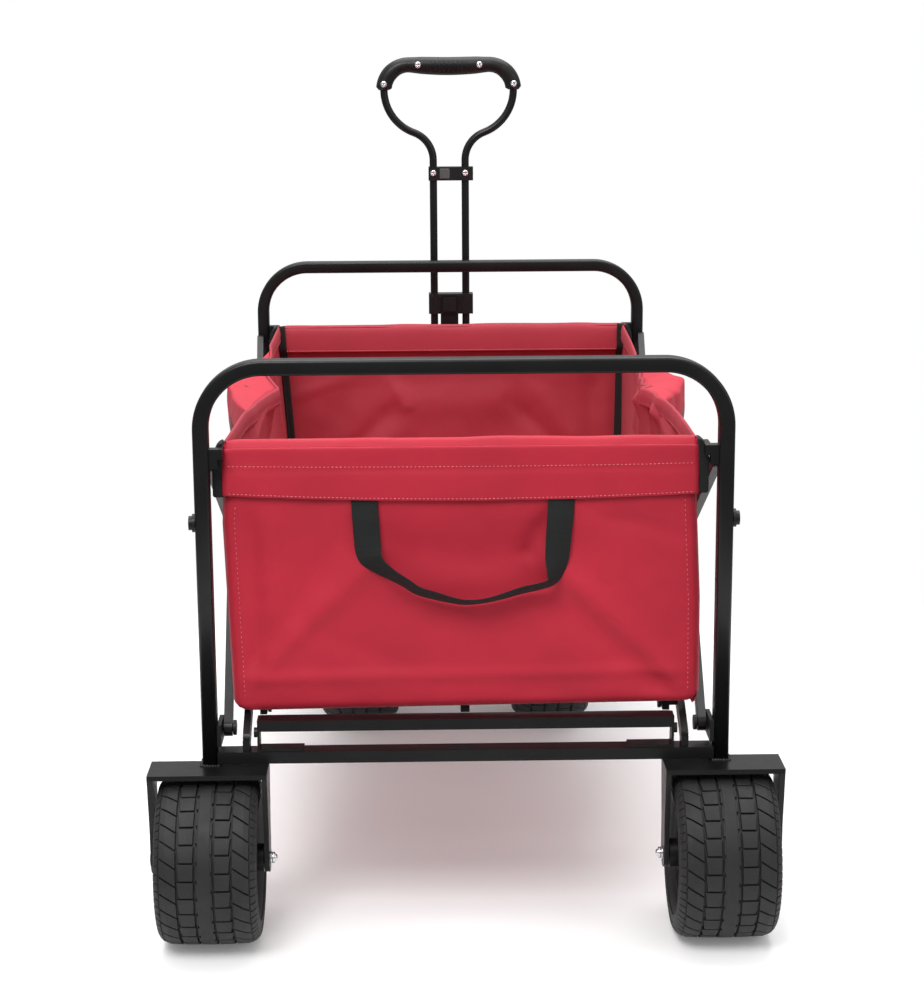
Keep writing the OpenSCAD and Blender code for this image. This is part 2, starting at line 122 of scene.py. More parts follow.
def ramp(tree, source, stops):
    made = node(tree, "ShaderNodeValToRGB")
    ends = made.color_ramp.elements
    for index, (place, colour) in enumerate(stops):
        item = ends[index] if index < 2 else ends.new(place)
        item.position = place
        item.color = (*colour, 1)
    tree.links.new(source, made.inputs["Fac"])
    return made.outputs["Color"]


def scaled(colour, factor):
    return tuple(min(1.0, c * factor) for c in colour)


def vary_colour(tree, shader, colour, scale, low, high, detail=3.0):
    """Slow light and dark patches over the base colour."""
    fac = noise_node(tree, scale, detail)
    colours = ramp(tree, fac, [(0.3, scaled(colour, low)), (0.7, scaled(colour, high))])
    tree.links.new(colours, shader.inputs["Base Color"])


def vary_roughness(tree, shader, scale, low, high, detail=4.0):
    spread = node(tree, "ShaderNodeMapRange", To_Min=low, To_Max=high)
    tree.links.new(noise_node(tree, scale, detail), spread.inputs["Value"])
    tree.links.new(spread.outputs["Result"], shader.inputs["Roughness"])


def add_bump(tree, shader, height, strength, distance):
    made = node(tree, "ShaderNodeBump", Strength=strength, Distance=distance)
    tree.links.new(height, made.inputs["Height"])
    old = shader.inputs["Normal"].links
    if old:
        tree.links.new(old[0].from_socket, made.inputs["Normal"])
    tree.links.new(made.outputs["Normal"], shader.inputs["Normal"])


def maths(tree, operation, a, b):
    made = node(tree, "ShaderNodeMath", operation=operation)
    for socket, value in zip(made.inputs, (a, b)):
        if isinstance(value, (int, float)):
            socket.default_value = value
        else:
            tree.links.new(value, socket)
    return made.outputs[0]


def mix_shaders(tree, fac, first, second, output):
    made = node(tree, "ShaderNodeMixShader")
    for source, socket in zip((fac, first.outputs[0], second.outputs[0]), made.inputs):
        tree.links.new(source, socket)
    tree.links.new(made.outputs[0], tree.nodes[output].inputs["Surface"])


def threads(tree, pitch, direction):
    """Sine ridges a pitch (in metres) apart along U or V, from the piece's own flat coordinates."""
    place = node(tree, "ShaderNodeTexCoord")
    wave = node(tree, "ShaderNodeTexWave", Scale=math.tau / 20 / pitch, Distortion=0.0, wave_type="BANDS",
        bands_direction=direction)
    tree.links.new(place.outputs["UV"], wave.inputs["Vector"])
    return wave.outputs["Fac"]


def painted_steel(name, colour, roughness=0.3):
    """Glossy powder coat: fine orange peel, faint dust and small changes of gloss."""
    mat, tree, shader = new_material(name, colour, roughness, Coat_Weight=0.04, Coat_Roughness=0.08,
        Specular_IOR_Level=0.27)
    vary_colour(tree, shader, colour, 14, 0.8, 1.3)
    vary_roughness(tree, shader, 60, roughness - 0.06, roughness + 0.1)
    add_bump(tree, shader, noise_node(tree, 900, 2), 0.12, 0.0002)
    return mat


def polyester(name, colour):
    """Coated woven polyester: crossed threads, a soft sheen and slow fading of the colour."""
    mat, tree, shader = new_material(name, colour, 0.62, Sheen_Weight=0.05, Sheen_Roughness=0.4,
        Sheen_Tint=(1.0, 0.55, 0.6, 1), Specular_IOR_Level=0.3)
    vary_colour(tree, shader, colour, 9, 0.93, 1.07)
    vary_roughness(tree, shader, 35, 0.55, 0.7)
    pitch = 0.0008
    weave = maths(tree, "MULTIPLY", threads(tree, pitch, "X"), threads(tree, pitch, "Y"))
    add_bump(tree, shader, weave, 0.35, 0.00012)
    add_bump(tree, shader, noise_node(tree, 55, 4), 0.18, 0.0015)
    return mat


def webbing(name, colour):
    """Woven strap: ribs across its length with a finer twill over them, with painted shade in the grooves
    and painted highlight on the ribs.
    """
    mat, tree, shader = new_material(name, colour, 0.8, Sheen_Weight=0.03, Sheen_Roughness=0.5,
        Specular_IOR_Level=0.25)
    pitch = 0.0016
    ribs = threads(tree, pitch, "Y")
    twill = threads(tree, pitch * 0.7, "DIAGONAL")
    height = maths(tree, "ADD", ribs, maths(tree, "MULTIPLY", twill, 0.5))
    # painted shade and highlight: the colour is darker in the weave's grooves and lighter on its raised
    # ribs
    shade = ramp(tree, height, [(0.2, scaled(colour, 0.75)), (1.0, scaled(colour, 1.45))])
    tree.links.new(shade, shader.inputs["Base Color"])
    add_bump(tree, shader, height, 0.6, 0.0003)
    return mat


def rubber(name, colour):
    """Matt tyre rubber with fine pores and grey dust in patches."""
    mat, tree, shader = new_material(name, colour, 0.72, Specular_IOR_Level=0.4)
    vary_colour(tree, shader, colour, 22, 0.8, 1.35, 5)
    vary_roughness(tree, shader, 90, 0.5, 0.75)
    add_bump(tree, shader, noise_node(tree, 700, 4), 0.3, 0.0003)
    return mat


def moulded(name, colour, roughness):
    """Moulded plastic with a spark-eroded grain."""
    mat, tree, shader = new_material(name, colour, roughness, Specular_IOR_Level=0.3)
    vary_colour(tree, shader, colour, 40, 0.85, 1.2)
    vary_roughness(tree, shader, 120, roughness - 0.07, roughness + 0.08)
    add_bump(tree, shader, noise_node(tree, 1600, 3), 0.25, 0.0001)
    return mat


def bright_metal(name, colour):
    """Plated steel with small changes of polish."""
    mat, tree, shader = new_material(name, colour, 0.18, 1.0)
    vary_colour(tree, shader, colour, 300, 0.85, 1.1)
    vary_roughness(tree, shader, 400, 0.12, 0.3)
    return mat


def sewing_thread(name, colour):
    mat, tree, shader = new_material(name, colour, 0.6)
    vary_colour(tree, shader, colour, 500, 0.8, 1.2)
    return mat


RED = (0.49, 0.018, 0.04)
BLACK = (0.006, 0.006, 0.0065)
LOOKS = {
    "frame_black": painted_steel("frame_black", BLACK),
    "dark_steel": painted_steel("dark_steel", (0.007, 0.007, 0.0075), 0.45),
    "red_fabric": polyester("red_fabric", RED),
    "floor_board": polyester("floor_fabric", scaled(RED, 0.9)),
    "red_lining": polyester("red_lining", (0.40, 0.036, 0.056)),
    "grey_tab": moulded("grey_tab", (0.09, 0.09, 0.09), 0.3),
    "black_webbing": webbing("black_webbing", (0.012, 0.0128, 0.0126)),
    "tyre_rubber": rubber("tyre_rubber", (0.0125, 0.0125, 0.013)),
    "rim_plastic": moulded("rim_plastic", (0.008, 0.008, 0.008), 0.32),
    "black_plastic": moulded("black_plastic", (0.009, 0.009, 0.0095), 0.38),
    "grip_rubber": moulded("grip_rubber", (0.009, 0.009, 0.009), 0.36),
    "bright_steel": bright_metal("bright_steel", (0.75, 0.75, 0.76)),
    "thread": sewing_thread("thread", (0.72, 0.2, 0.25)),
}


# ---- mesh helpers ----

def piece(name, verts, faces, slot, body, uvs=None, smooth=True):
    """A new mesh object, from points in millimetres, that rides on a body."""
    mesh = bpy.data.meshes.new(name)
    mesh.from_pydata([Vector(v) * MM for v in verts], [], faces)
    if uvs:
        layer = mesh.uv_layers.new(name="flat")
        for loop in mesh.loops:
            layer.data[loop.index].uv = uvs[loop.vertex_index]
    mesh.materials.append(LOOKS[slot])
    mesh.polygons.foreach_set("use_smooth", [smooth] * len(mesh.polygons))
    mesh.update()
    obj = bpy.data.objects.new(name, mesh)
    show(obj)
    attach(obj, body)
    return obj


def modifier(obj, kind, **settings):
    made = obj.modifiers.new(kind.lower(), kind)
    for key, value in settings.items():
        setattr(made, key, value)
    return made


def bevel(obj, width, segments=2, angle=35):
    return modifier(obj, "BEVEL", width=width * MM, segments=segments, limit_method="ANGLE",
        angle_limit=math.radians(angle))


def thicken(obj, thickness):
    return modifier(obj, "SOLIDIFY", thickness=thickness * MM, offset=0)


def patch_faces(wide, high, start=0):
    """Faces of a sheet of points in rows, wide by high squares."""
    corners = [start + j * (wide + 1) + i for j in range(high) for i in range(wide)]
    return [(k, k + 1, k + wide + 2, k + wide + 1) for k in corners]


def skirt_faces(wide, high, start=0):
    """Faces between the edge of a sheet of points and the edge of its copy, whose points come after it."""
    across, size = wide + 1, (wide + 1) * (high + 1)
    rim = list(range(across)) + [j * across + wide for j in range(1, high + 1)]
    rim += [high * across + i for i in range(wide - 1, -1, -1)]
    rim += [j * across for j in range(high - 1, 0, -1)]
    pairs = [(start + a, start + b) for a, b in zip(rim, rim[1:] + rim[:1])]
    return [(a, a + size, b + size, b) for a, b in pairs]


def ring_faces(rings, around, start=0, closed=False):
    """Faces between loops of points; closed also joins the last loop to the first."""
    faces = []
    for i in range(rings if closed else rings - 1):
        here, there = start + i * around, start + (i + 1) % rings * around
        for k in range(around):
            n = (k + 1) % around
            faces.append((here + k, here + n, there + n, there + k))
    return faces


def mean_distances(rows):
    """Distance from the first column of points to each column, averaged over the rows."""
    out = [0.0]
    for i in range(len(rows[0]) - 1):
        steps = [(row[i + 1] - row[i]).length for row in rows]
        out.append(out[-1] + sum(steps) / len(steps))
    return out


def cloth(name, point, count, body, slot="red_fabric", thickness=0.9):
    """A sheet over u and v from 0 to 1. point(u, v) is in millimetres; its flat size is measured on it."""
    nu, nv = count
    rows = [[Vector(point(i / nu, j / nv)) for i in range(nu + 1)] for j in range(nv + 1)]
    along, up = mean_distances(rows), mean_distances(list(zip(*rows)))
    verts = [p for row in rows for p in row]
    uvs = [(a * MM, b * MM) for b in up for a in along]
    obj = piece(name, verts, patch_faces(nu, nv), slot, body, uvs)
    thicken(obj, thickness)
    obj["flat_width"] = along[-1] * MM
    obj["flat_length"] = up[-1] * MM
    return obj


def between(four, t):
    """The point t of the way from the second to the third of four, on a smooth curve through them all."""
    return tuple(0.5 * (2 * b + (c - a) * t + (2 * a - 5 * b + 4 * c - d) * t * t
                + (3 * b - a - 3 * c + d) * t ** 3) for a, b, c, d in zip(*four))


def four_around(points, i):
    last = len(points) - 1
    return [points[max(0, min(last, i + d))] for d in (-1, 0, 1, 2)]


def smooth_path(points, steps):
    """A smooth curve through points given as tuples of any length."""
    spans = range(len(points) - 1)
    return [between(four_around(points, i), s / steps) for i in spans for s in range(steps)] + [points[-1]]


def sweep(name, frames, section, slot, body):
    """A closed section carried along frames of (place, side, up); section(t) gives it for t in 0..1."""
    verts, uvs, length = [], [], 0.0
    count = len(section(0))
    for index, (place, side, up) in enumerate(frames):
        if index:
            length += (Vector(place) - Vector(frames[index - 1][0])).length
        for k, (a, b) in enumerate(section(index / (len(frames) - 1))):
            verts.append(Vector(place) + Vector(side) * a + Vector(up) * b)
            uvs.append((a * MM, length * MM))
    faces = ring_faces(len(frames), count)
    last = (len(frames) - 1) * count
    faces += [tuple(reversed(range(count))), tuple(last + k for k in range(count))]
    return piece(name, verts, faces, slot, body, uvs)


def arch(reach, top, corner, steps):
    """The two bends of an arch, each as a list of (x, z, turn) from left to right."""
    left, right = [], []
    for s in range(steps + 1):
        turn = math.radians(90 * s / steps)
        along, across = corner * math.cos(turn), corner * math.sin(turn)
        left.append((-reach + corner - along, top - corner + across, turn))
        right.append((reach - corner + across, top - corner + along, math.pi / 2 + turn))
    return left, right


def upright_frames(path, y):
    return [((x, y, z), (math.cos(turn), 0, -math.sin(turn)), (0, 1, 0)) for x, z, turn in path]


def rounded_rectangle(half_a, half_b, radius, steps=4):
    points = []
    for corner, (sa, sb) in enumerate([(1, 1), (-1, 1), (-1, -1), (1, -1)]):
        for s in range(steps + 1):
            angle = math.radians(90 * corner + 90 * s / steps)
            points.append((sa * (half_a - radius) + radius * math.cos(angle),
                        sb * (half_b - radius) + radius * math.sin(angle)))
    return points


def oval(x, z, half_x, half_z, count):
    turns = [math.tau * k / count for k in range(count)]
    return [(x + half_x * math.sin(turn), z + half_z * math.cos(turn)) for turn in turns]


def lathe(name, profile, centre, slot, body, steps):
    """Turns a closed outline of (along, radius) about a line along X."""
    verts = []
    for s in range(steps):
        angle = math.tau * s / steps
        a, b = math.cos(angle), math.sin(angle)
        verts += [Vector(centre) + Vector((along, radius * a, radius * b)) for along, radius in profile]
    return piece(name, verts, ring_faces(steps, len(profile), closed=True), slot, body)


def merge(name, objs, smooth=True):
    """Joins pieces of one body and one material into one object."""
    verts, faces = [], []
    for obj in objs:
        start = len(verts)
        verts += [v.co / MM for v in obj.data.vertices]
        faces += [tuple(start + i for i in p.vertices) for p in obj.data.polygons]
    keep = objs[0]
    old = keep.data
    mesh = bpy.data.meshes.new(name)
    mesh.from_pydata([v * MM for v in verts], [], faces)
    mesh.materials.append(old.materials[0])
    mesh.polygons.foreach_set("use_smooth", [smooth] * len(mesh.polygons))
    keep.data = mesh
    keep.name = name
    bpy.data.meshes.remove(old)
    for obj in objs[1:]:
        bpy.data.objects.remove(obj, do_unlink=True)
    return keep


def prism(name, outline, y0, y1, slot, body):
    """An outline in X and Z drawn out along Y."""
    count = len(outline)
    verts = [(x, y, z) for y in (y0, y1) for x, z in outline]
    faces = [tuple(range(count)), tuple(reversed(range(count, 2 * count)))]
    faces += [(k, k + count, (k + 1) % count + count, (k + 1) % count) for k in range(count)]
    return piece(name, verts, faces, slot, body, smooth=False)


def mirrored(outline, sign):
    return [(x * sign, z) for x, z in (outline if sign > 0 else reversed(outline))]


def stitches(name, points, normal, body):
    """A row of short thread bumps that stand out along normal, one at each pair of (place, direction)."""
    length, width = 2.7, 0.65
    verts, faces = [], []
    for place, direction in points:
        along = Vector(direction).normalized() * (length / 2)
        out = Vector(normal).normalized() * width
        side = along.cross(out).normalized() * (width * 0.8)
        start = len(verts)
        base = Vector(place)
        verts += [base - along, base + along, base - side, base + side,
                  base - along * 0.55 + out, base + along * 0.55 + out]
        faces += [tuple(start + i for i in f) for f in
                  ((0, 2, 4), (0, 4, 3), (1, 5, 2), (1, 3, 5), (2, 5, 4), (3, 4, 5))]
    return piece(name, verts, faces, "thread", body, smooth=False)


# ---- frame: hoops, welds, hardware ----

TUBE_FACE = 15


def hoop(name, y, body, stands_for):
    """Rectangular tube bent into a hoop, with rounded edges."""
    low, high = (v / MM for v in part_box(stands_for))
    depth, bend = 20, 60
    post = high.x - TUBE_FACE / 2
    left, right = arch(post, high.z - TUBE_FACE / 2, bend, 24)
    path = [(-post, low.z, 0)] + left + right + [(post, low.z, math.pi)]
    shape = rounded_rectangle(TUBE_FACE / 2, depth / 2, 3)
    made = sweep(name, upright_frames(path, y), lambda t: shape, "frame_black", body)
    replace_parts(made, stands_for)


def weld_bead(name, x, y, z, half_a, half_b, body):
    """Small overlapping blobs round the foot of a post."""
    rng = random.Random(5)
    verts, faces = [], []
    rings, around = 4, 8
    thirds = [k / 3 for k in range(-3, 4)]
    ring = [(t * half_a, side * half_b) for t in thirds for side in (1, -1)]
    ring += [(side * half_a, t * half_b) for t in thirds for side in (1, -1)]
    for a, b in ring:
        start = len(verts)
        r = 2.1 + rng.uniform(-0.3, 0.5)
        for i in range(rings + 1):
            up = math.pi / 2 * i / rings
            wide = r * math.cos(up)
            for k in range(around):
                turn = math.tau * k / around
                verts.append((x + a + wide * math.cos(turn), y + b + wide * math.sin(turn),
                            z + r * 0.9 * math.sin(up)))
        faces += ring_faces(rings + 1, around, start)
    return piece(name, verts, faces, "frame_black", body)


def domed_screw(name, centre, radius, body):
    """A pan head facing -Y with a crossed recess."""
    rings, around = 8, 32
    verts = []
    for i in range(rings + 1):
        r = radius * i / rings
        for k in range(around):
            turn = math.tau * k / around
            a, b = r * math.cos(turn), r * math.sin(turn)
            height = 0.42 * radius * math.sqrt(max(0.0, 1 - (r / radius) ** 2)) + 0.25 * radius
            if min(abs(a), abs(b)) < 0.14 * radius and r < 0.62 * radius:
                height -= 0.3 * radius
            verts.append((centre[0] + a, centre[1] - height, centre[2] + b))
    for k in range(around):
        a, b = radius * math.cos(math.tau * k / around), radius * math.sin(math.tau * k / around)
        verts.append((centre[0] + a, centre[1] + 0.3, centre[2] + b))
    faces = ring_faces(rings + 2, around)
    faces.append(tuple(range((rings + 1) * around, (rings + 2) * around)))
    return piece(name, verts, faces, "bright_steel", body)


def acorn_nut(name, centre, direction, body):
    """Washer, hexagon and dome along X; direction is the side that the dome points to."""
    washer = [(0, 2.5), (0, 6.6), (1.2, 6.6), (1.2, 2.5)]
    dome = [(4, 0.1)] + [(4 + 3.4 * math.sin(a), 3.9 * math.cos(a)) for a in
                (math.radians(9 * k) for k in range(10))] + [(7.4, 0.1)]
    hexagon = [(1.2, 1), (1.2, 5.2), (1.6, 5.6), (4, 5.6), (4.6, 5), (4.6, 1)]
    parts = []
    for label, profile, steps in (("washer", washer, 40), ("dome", dome, 40), ("hexagon", hexagon, 6)):
        shape = [(a * direction, r) for a, r in profile]
        parts.append(lathe(name + label, shape, centre, "bright_steel", body, steps))
    return merge(name, parts)


def rear_axles():
    """Axle pins with a low black head outside each fork and a bright nut inside it."""
    heads, nuts = [], []
    axle_y = middle("rear_rim_left").y / MM
    for label, sign in (("left", -1), ("right", 1)):
        low, high = (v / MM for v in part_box("rear_fork_" + label))
        outer, inner = (low.x, high.x) if sign < 0 else (high.x, low.x)
        middle_x = (outer + inner) / 2
        end = outer - middle_x
        pin = [(-end, 0.1), (-end, 6), (end, 6), (end, 8.5), (end + sign * 1.6, 7), (end + sign * 2, 0.1)]
        centre = (middle_x, axle_y, AXLE_Z)
        heads.append(lathe("pin_" + label, pin, centre, "dark_steel", "rear_frame", 40))
        nuts.append(acorn_nut("nut_" + label, (inner, axle_y, AXLE_Z), -sign, "rear_frame"))
    merge("axle_pins", heads)
    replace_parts(merge("axle_nuts", nuts), "rear_axle_bolts")


def build_frame():
    hoop("hoop_rear", REAR, "rear_frame", "rear_hoop")
    hoop("hoop_front", FRONT, "front_frame", "front_hoop")
    plate_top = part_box("rear_fork_left")[1].z / MM
    post = HOOP_HALF - TUBE_FACE / 2
    for label, x in (("left", -post), ("right", post)):
        weld_bead("weld_" + label, x, REAR, plate_top, 8, 9.5, "rear_frame")
    rear_axles()
    edges = {
        0.8: "rear_rail_brackets",
        1: "rear_pivots front_pivots handle_bracket post_knobs platform_frame_rear platform_frame_front",
        1.4: "caster_fork_left caster_fork_right",
        1.5: "front_subframe handle_tube",
        1.6: "rear_fork_left rear_fork_right loop_brace",
        2: "rear_lower_rail rear_support_rail lock_button slider_block",
        2.2: "lock_block",
    }
    for width, names in edges.items():
        for name in names.split():
            bevel(nodes[name], width)
    bevel(nodes["rear_hem_rail"], 1)
    bevel(nodes["front_hem_rail"], 1)


# ---- tyres ----

BLOCKS = 30
GROOVE = 3.2
HALF_WIDE = WHEEL_W / 2
SHOULDER = 13


def tyre_radius(x):
    """Outer radius of the tread at x from the middle of the tyre: nearly flat, with round shoulders."""
    beyond = min(1.0, max(0.0, abs(x) - (HALF_WIDE - SHOULDER)) / SHOULDER)
    return WHEEL_R - 0.0007 * x * x - 11 * (1 - math.sqrt(max(0.0, 1 - beyond * beyond)))


def tread_block(verts, faces, outline, foot):
    """A raised block from four (x, angle) corners, with sides that go down to foot below the tread."""
    steps = 3
    (x0, a0), (x1, a1), (x2, a2), (x3, a3) = outline
    start = len(verts)
    for level in (0, 1):
        for j in range(steps + 1):
            for i in range(steps + 1):
                u, v = i / steps, j / steps
                x = (1 - v) * ((1 - u) * x0 + u * x1) + v * ((1 - u) * x3 + u * x2)
                a = (1 - v) * ((1 - u) * a0 + u * a1) + v * ((1 - u) * a3 + u * a2)
                if level:
                    cx = (x0 + x1 + x2 + x3) / 4
                    ca = (a0 + a1 + a2 + a3) / 4
                    x, a = cx + (x - cx) * 1.04, ca + (a - ca) * 1.04
                r = tyre_radius(x) - (foot if level else 0)
                verts.append((x, r * math.sin(a), r * math.cos(a)))
    faces += patch_faces(steps, steps, start) + skirt_faces(steps, steps, start)


def tread():
    """The blocks of one tyre about its axle: a notched rib, two block rows and slanted shoulder blocks."""
    verts, faces = [], []
    pitch = math.tau / BLOCKS
    gap = 1.9 / WHEEL_R
    edge = HALF_WIDE

    def block(sign, corners, foot):
        placed = [(sign * x, angle) for x, angle in corners]
        tread_block(verts, faces, placed if sign > 0 else placed[::-1], foot)

    for k in range(BLOCKS):
        for sign, shift in ((-1, 0.0), (1, 0.42)):
            start = k * pitch + shift * pitch
            end = start + pitch
            lean = sign * -0.3 * pitch
            block(sign, [(6, start + gap), (8.1, start + gap), (7.8, end - gap), (6, end - gap)], GROOVE)
            low, high = start + gap / 2, end - gap / 2
            block(sign, [(10.4, low), (23.8, low), (25.6, high), (9.8, high)], GROOVE)
            block(sign, [(27.2, low - lean), (edge - 7, low + lean), (edge - 7, high + lean),
                        (27.2, high - lean)], GROOVE * 0.8)
            for part in (0.0, 0.5):
                low = start + part * pitch + lean * 1.3 + gap * 0.4
                high = low + pitch / 2 - gap * 0.8
                block(sign, [(edge - 6.2, low), (edge - 0.8, low), (edge - 0.8, high), (edge - 6.2, high)],
                    GROOVE * 0.5)
    return verts, faces


def tyre(label, body):
    centre = middle(label.replace("tyre", "rim")) / MM
    low, high = (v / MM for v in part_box(label))
    centre.x = (low.x + high.x) / 2
    half = HALF_WIDE
    outline = []
    for s in range(97):
        x = -half + 1.2 + (2 * half - 2.4) * s / 96
        foot = 1.5 if abs(x) > half - 8 else GROOVE
        outline.append((x, tyre_radius(x) - (0 if abs(x) < 6.4 else foot)))
    bead, wall = 54, []
    for s in range(1, 12):
        t = s / 12
        bulge = 1.2 * math.sin(math.pi * t)
        wall.append((half - 1.2 - 6 * t ** 2 + bulge, (tyre_radius(half) - 1.5) * (1 - t) + bead * t))
    outline += wall + [(half - 8, bead), (-half + 8, bead)] + [(-x, r) for x, r in reversed(wall)]
    carcass = lathe(label + "_body", outline, centre, "tyre_rubber", body, 120)
    verts, faces = tread()
    verts = [Vector(v) + centre for v in verts]
    blocks = piece(label + "_tread", verts, faces, "tyre_rubber", body, smooth=False)
    bevel(blocks, 0.5, 2, 50)
    rings = []
    for sign in (-1, 1):
        for radius in (62, 70):
            ring = oval(sign * (half - 1.6), radius, sign * 1.3, 1, 8)
            name = label + "_ring%d%d" % (sign, radius)
            rings.append(lathe(name, ring, centre, "tyre_rubber", body, 96))
    merge(label + "_sidewall_rings", rings)
    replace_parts(carcass, label)


def rim_details(label, body):
    """Lip, hub rings and ribs over the plain disc, on both sides."""
    centre = middle(label) / MM
    parts = []
    for sign in (-1, 1):
        lip = oval(sign * 38, 52, sign * 3, 2.6, 12)
        parts.append(lathe(label + "lip%d" % sign, lip, centre, "rim_plastic", body, 96))
        hub = [(sign * x, r) for x, r in ((3, 10), (3, 20), (9, 19), (30, 16), (33, 14), (33, 10))]
        parts.append(lathe(label + "hub%d" % sign, hub, centre, "rim_plastic", body, 48))
        for k in range(8):
            turn = Matrix.Rotation(math.tau * k / 8, 3, "X")
            ends = ((15, 26, 2.4), (50, 14, 1.8), (15, 2, 3), (50, 2, 2.4))
            corners = [(sign * x, side * w, r) for r, x, w in ends for side in (-1, 1)]
            verts = [turn @ Vector(c) + centre for c in corners]
            faces = [(0, 1, 3, 2), (4, 6, 7, 5), (0, 4, 5, 1), (2, 3, 7, 6), (0, 2, 6, 4), (1, 5, 7, 3)]
            rib = piece(label + "rib%d%d" % (sign, k), verts, faces, "rim_plastic", body, smooth=False)
            parts.append(rib)
    bevel(merge(label + "_details", parts, smooth=False), 0.8, 2, 40)


def build_wheels():
    for place, body in (("rear", "rear_wheel_"), ("front", "front_wheel_")):
        for label in ("left", "right"):
            tyre("%s_tyre_%s" % (place, label), body + label)
            rim_details("%s_rim_%s" % (place, label), body + label)


# ---- basket ----

def crease(x, z, start, end, width, height, sharp=1.0):
    """Height of a soft fold that runs from start to end and fades at both ends."""
    dx, dz = end[0] - start[0], end[1] - start[1]
    length = math.hypot(dx, dz)
    t = ((x - start[0]) * dx + (z - start[1]) * dz) / length ** 2
    across = ((x - start[0]) * dz - (z - start[1]) * dx) / length
    fade = max(0.0, min(1.0, (t + 0.25) * 4)) * max(0.0, min(1.0, (1.25 - t) * 4))
    return height * fade * math.exp(-abs(across / width) ** (2 * sharp))


# (start, end, width, height) of each fold in an end wall
END_FOLDS = [
    ((-212, 262), (-96, 372), 11, 2.6), ((-205, 282), (-120, 400), 15, -2.2),
    ((92, 372), (214, 250), 12, 3.0), ((80, 345), (190, 252), 16, -2.6),
    ((-206, 430), (-212, 280), 12, -2.4), ((-190, 440), (-186, 330), 14, 1.6),
    ((-60, 392), (70, 388), 26, -3.4), ((84, 425), (64, 385), 10, -2.2),
    ((110, 440), (190, 330), 18, 1.5), ((-40, 300), (110, 285), 24, 1.6),
    ((-200, 262), (200, 264), 7, 1.5), ((150, 425), (215, 400), 10, -1.6),
    ((-150, 310), (-60, 270), 14, -1.2),
]
# half width and sideways shift of the basket at each height, for each end
OUTLINES = {
    -1: [(230, 231, 1.5), (262, 231.5, 1), (337, 232.5, -0.5), (418, 231.8, -3.8), (447, 230.3, -3.6),
         (504, 230.8, -3)],
    1: [(230, 226, 4.5), (350, 230, 4), (440, 234, 1.5), (504, 235.5, 0)],
}


def outline_at(end, z):
    """Half width and sideways shift of the basket at one end (-1 rear, 1 front), at a height."""
    rows = OUTLINES[end]
    z = max(rows[0][0], min(rows[-1][0], z))
    for (z0, h0, c0), (z1, h1, c1) in zip(rows, rows[1:]):
        if z <= z1:
            t = (z - z0) / (z1 - z0)
            return h0 + (h1 - h0) * t, c0 + (c1 - c0) * t
    return rows[-1][1:]


def wall_half(end, z):
    """Half width of an end wall at a height, with rounded lower corners."""
    half = outline_at(end, z)[0]
    radius = 13
    if z < WALL_LOW + radius:
        drop = (WALL_LOW + radius - z) / radius
        half -= radius * (1 - math.sqrt(max(0.0, 1 - drop * drop)))
    return half


def end_wall_point(u, v, wall, outward, folds, seed):
    """A point of an end wall. outward is -1 for the rear wall and +1 for the front one."""
    top = WALL_TOP[outward]
    z = WALL_LOW + (top - 6 - WALL_LOW) * (v ** 1.25)
    half = wall_half(outward, z)
    edge = 9
    s = 2 * u - 1
    x = s * half
    bulge = 1.5 * sum(crease(x, z, *fold) for fold in folds)
    bulge += 3.2 * noise.noise(Vector((x * 0.011, z * 0.013, seed)))
    bulge += 0.8 * noise.noise(Vector((x * 0.035, z * 0.04, seed + 7)))
    quiet = min(1, (half - abs(x)) / 30) * min(1, max(0, (top - 62 - z) / 25))
    bulge *= max(0.0, quiet * min(1, (z - WALL_LOW) / 16))
    over = max(0.0, abs(x) - (half - edge)) / edge
    back = edge * (1 - math.sqrt(max(0.0, 1 - over * over)))
    under = max(0.0, WALL_LOW + edge - z) / edge
    back += edge * 0.8 * (1 - math.sqrt(max(0.0, 1 - under * under)))
    seam = 1.1 * math.exp(-((abs(x) - (half - edge)) / 1.4) ** 2)
    bow = 1.5 * math.sin(math.pi * u) * (1 - v)
    z += (2.5 * s if outward < 0 else 0) * (1 - v) * (1 - v) + bow * 0.4
    return x + outline_at(outward, z)[1], wall + outward * (0.4 + bulge + bow - back - seam), z


HEM_FACE = 54
HEM_INSIDE = 35
SIDE_END = 16
SIDE_LENGTH = FRONT - REAR - 2 * SIDE_END
RIM_SHARE = 0.9


def hem_point(u, v, wall, outward):
    """A point of the sleeve sewn round the rail in the hem, from its outer lower edge to its inner one."""
    s = 2 * u - 1
    top = WALL_TOP[outward]
    half, shift = outline_at(outward, top - 15)
    x = s * half
    sag = 6 * (1 - s * s) + s
    lift = max(-0.3, 1.6 * noise.noise(Vector((x * 0.02, 1.5, outward))))
    low = top - HEM_FACE
    inner = top - HEM_INSIDE
    droop = 5 * math.exp(-(half + x) / 5) + 2 * math.exp(-(half - x) / 5)
    over = top + lift - droop
    loop = [(-4.8, low - sag), (-5, low + 5 - sag), (-4.2, low + 22 - sag * 0.6),
        (-3, low + 30 - sag * 0.3), (-2.4, low + 45), (-0.6, top - 7 - droop), (3.6, over - 1.5),
        (8, over), (12, over - 3), (13.7, top - 9), (14, top - 20), (13.6, inner + 4), (13.2, inner)]
    at = v * (len(loop) - 1)
    k = min(int(at), len(loop) - 2)
    depth, z = between(four_around(loop, k), at - k)
    ripple = 0.9 * noise.noise(Vector((x * 0.03, z * 0.03, 4 + outward)))
    if v < 0.4:
        depth += ripple + 0.5 * math.exp(-((z - low - 24) / 1.5) ** 2)
    return x + shift, wall - outward * depth, z


def edge_stitches(name, line, body, normal, pitch=4.0):
    """Stitches along a line given as a function of t in 0..1, at an even pitch."""
    steps = 400
    points = [Vector(line(i / steps)) for i in range(steps + 1)]
    places, total, due = [], 0.0, pitch / 2
    for a, b in zip(points, points[1:]):
        gap = (b - a).length
        while total + gap >= due:
            places.append((a.lerp(b, (due - total) / gap), b - a))
            due += pitch
        total += gap
    return stitches(name, places, normal, body)


